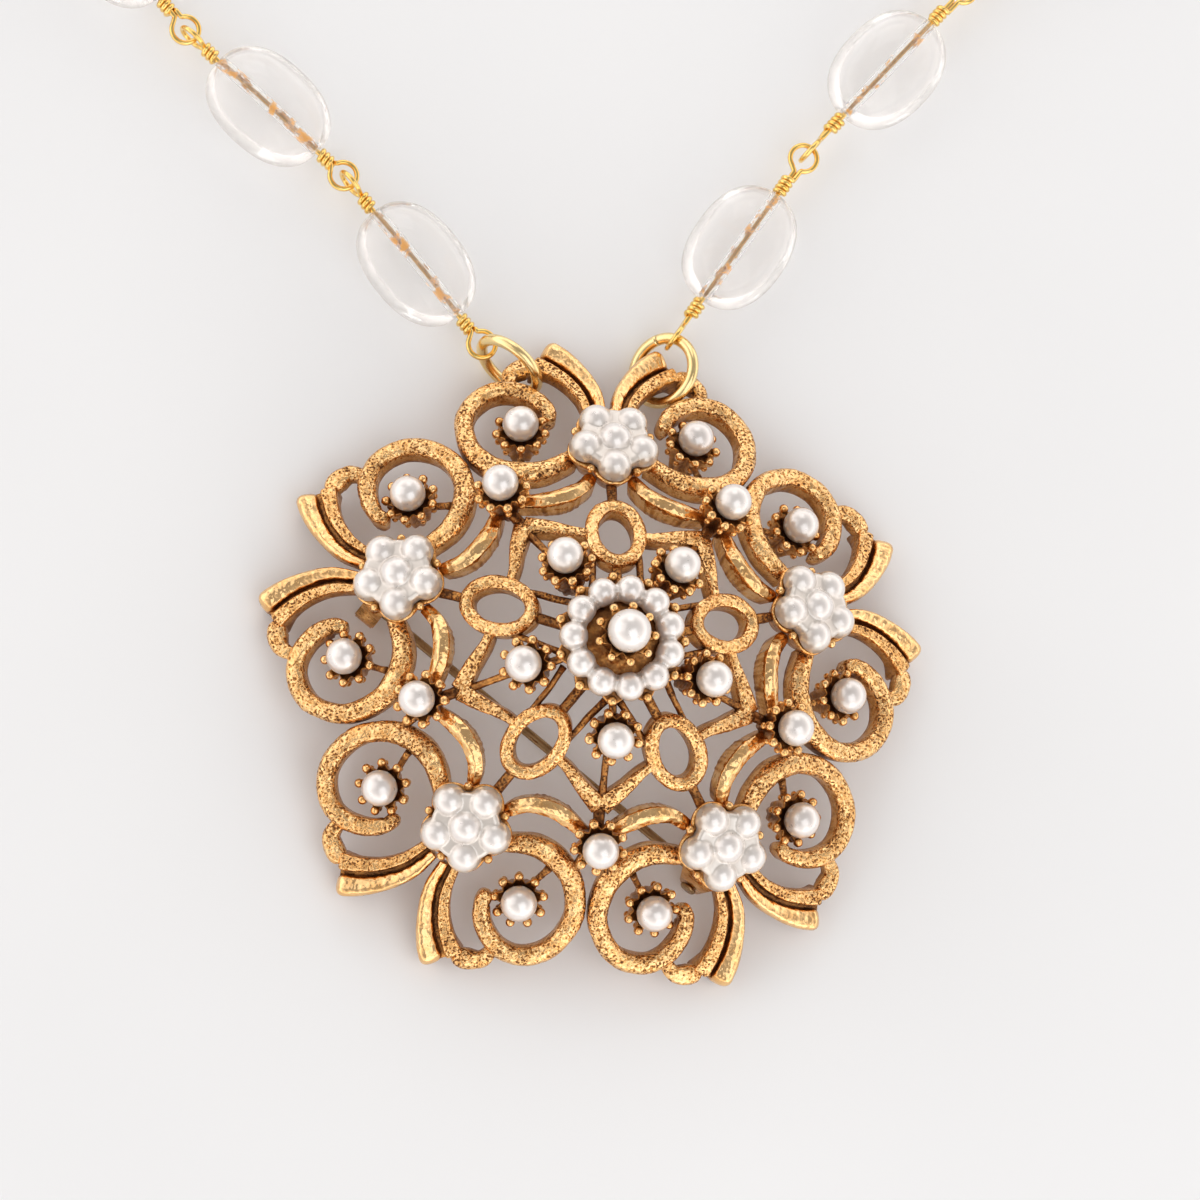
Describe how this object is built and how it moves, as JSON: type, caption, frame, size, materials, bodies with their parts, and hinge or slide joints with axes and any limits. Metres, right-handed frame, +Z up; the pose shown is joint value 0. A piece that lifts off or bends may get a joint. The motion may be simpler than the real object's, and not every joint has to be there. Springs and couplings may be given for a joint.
{
  "type": "brooch necklace",
  "caption": "Domed, pierced five-fold brooch in antiqued gold metal, set with pearls and pearl flowers, with a pin at its back, hung from a chain of clear oval beads on looped wire",
  "frame": {"origin": "on the surface that the necklace lies on, under the middle of its box", "axes": "+X to the right of the laid necklace, +Y from the brooch up to the clasp, +Z up from the surface"},
  "size_m": [0.1264, 0.2282, 0.0239],
  "materials": {
    "antique_gold": "antiqued, with polished edges and dark recesses",
    "pin_metal": "dull",
    "pearl": "pearl lustre",
    "clear_quartz": "polished",
    "pale_brass": "bright",
    "gold_wire": "bright"
  },
  "bodies": {
    "necklace": {"brooch_frame": "antique_gold", "pin_rivet": "pin_metal", "centre_pearl": "pearl", "seed_pearl_ring": "pearl", "scroll_pearls": "pearl", "pearl_flower_1": "pearl", "pearl_flower_2": "pearl", "pearl_flower_3": "pearl", "pearl_flower_4": "pearl", "pearl_flower_5": "pearl", "inner_pearl_1": "pearl", "inner_pearl_2": "pearl", "inner_pearl_3": "pearl", "inner_pearl_4": "pearl", "inner_pearl_5": "pearl", "junction_pearl_1": "pearl", "junction_pearl_2": "pearl", "junction_pearl_3": "pearl", "junction_pearl_4": "pearl", "junction_pearl_5": "pearl", "jump_ring_left": "pale_brass", "jump_ring_right": "pale_brass", "left_wires": "gold_wire", "right_wires": "gold_wire", "clasp_hook": "gold_wire", "clasp_ring": "gold_wire", "bead_left_1": "clear_quartz", "bead_left_2": "clear_quartz", "bead_left_3": "clear_quartz", "bead_left_4": "clear_quartz", "bead_left_5": "clear_quartz", "bead_left_6": "clear_quartz", "bead_left_7": "clear_quartz", "bead_left_8": "clear_quartz", "bead_left_9": "clear_quartz", "bead_left_10": "clear_quartz", "bead_left_11": "clear_quartz", "bead_right_1": "clear_quartz", "bead_right_2": "clear_quartz", "bead_right_3": "clear_quartz", "bead_right_4": "clear_quartz", "bead_right_5": "clear_quartz", "bead_right_6": "clear_quartz", "bead_right_7": "clear_quartz", "bead_right_8": "clear_quartz", "bead_right_9": "clear_quartz", "bead_right_10": "clear_quartz"},
    "pin": {"pin_stem": "pin_metal"}
  },
  "joints": [
    {"name": "pin_hinge", "type": "hinge", "parent": "necklace", "child": "pin", "pos_m": [0.0174, -0.10373, 0.002], "axis": [-0.5878, -0.809, 0], "range_deg": [0, 100]}
  ]
}
